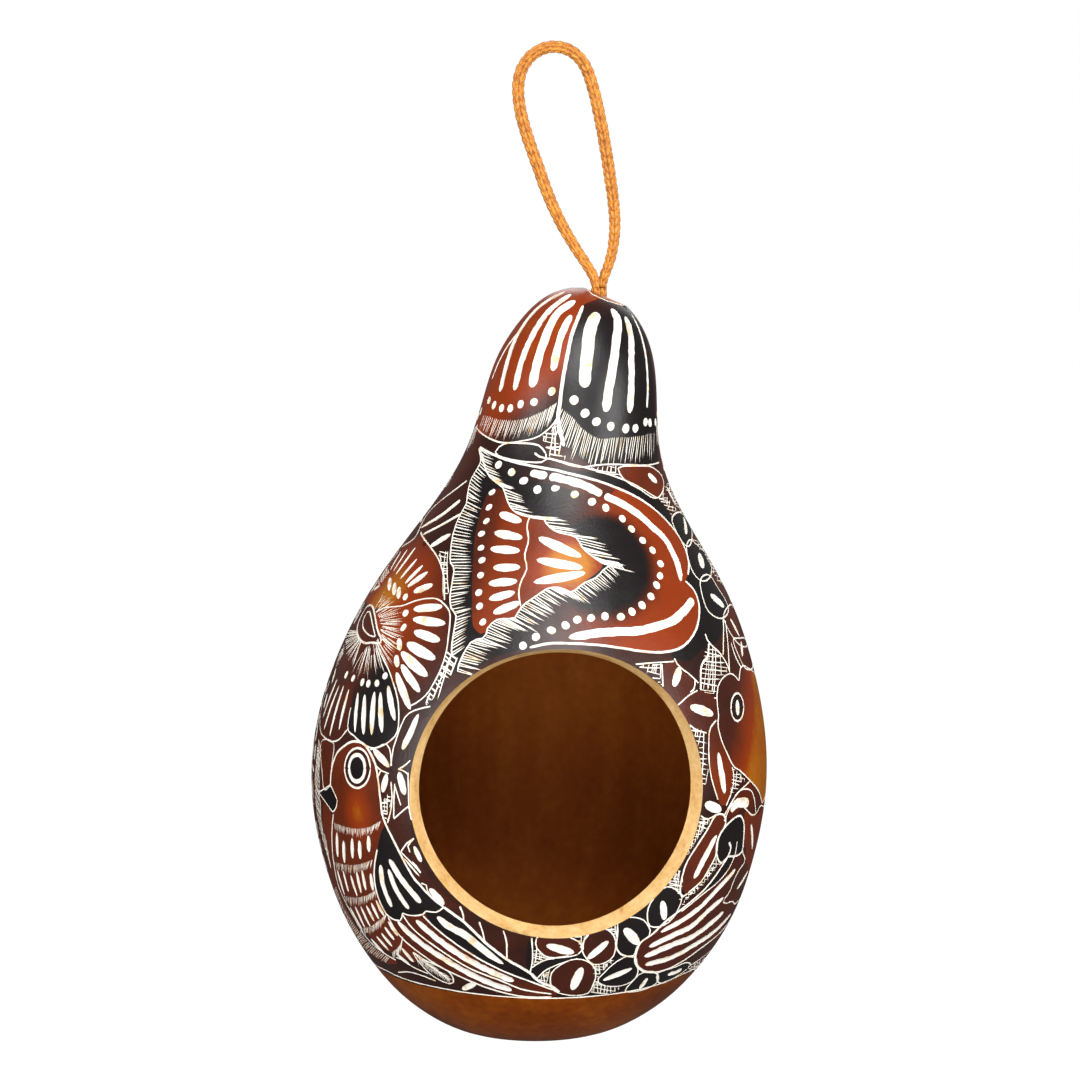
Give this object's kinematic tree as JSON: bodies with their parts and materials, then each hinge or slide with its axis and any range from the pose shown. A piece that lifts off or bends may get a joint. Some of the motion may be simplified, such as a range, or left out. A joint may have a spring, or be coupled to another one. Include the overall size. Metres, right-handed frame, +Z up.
{
  "type": "carved gourd",
  "caption": "Hollow bottle gourd with a round window in its belly and a carved skin, hung from a loop of knitted cord.",
  "frame": {"origin": "hook point, at the inner top of the hanging loop", "axes": "+Z up along the gourd's height, the window faces -Y, the neck leans towards +X"},
  "size_m": [0.1163, 0.1105, 0.2512],
  "materials": {
    "gourd_skin": "dried gourd skin, burnt, polished and engraved",
    "cord": "golden knitted cord"
  },
  "bodies": {
    "loop": {"hanging_loop": "cord"},
    "throat": {"cord_in_hole": "cord"},
    "knot": {"cord_knot": "cord", "cord_tails": "cord"},
    "gourd": {"gourd_shell": "gourd_skin"}
  },
  "joints": [
    {"name": "swing_sideways", "type": "hinge", "parent": "loop", "child": "throat", "pos_m": [0.0123, 0, -0.05835], "axis": [0, 1, 0], "range_deg": [-30, 25], "deforming": ["cord_in_hole"]},
    {"name": "swing_forward", "type": "hinge", "parent": "throat", "child": "knot", "pos_m": [0.0123, 0, -0.05835], "axis": [1, 0, 0], "range_deg": [-25, 25], "deforming": ["cord_in_hole"]},
    {"name": "turn_on_cord", "type": "hinge", "parent": "knot", "child": "gourd", "pos_m": [0.0123, 0, -0.05835], "axis": [0, 0, 1], "continuous": true}
  ]
}
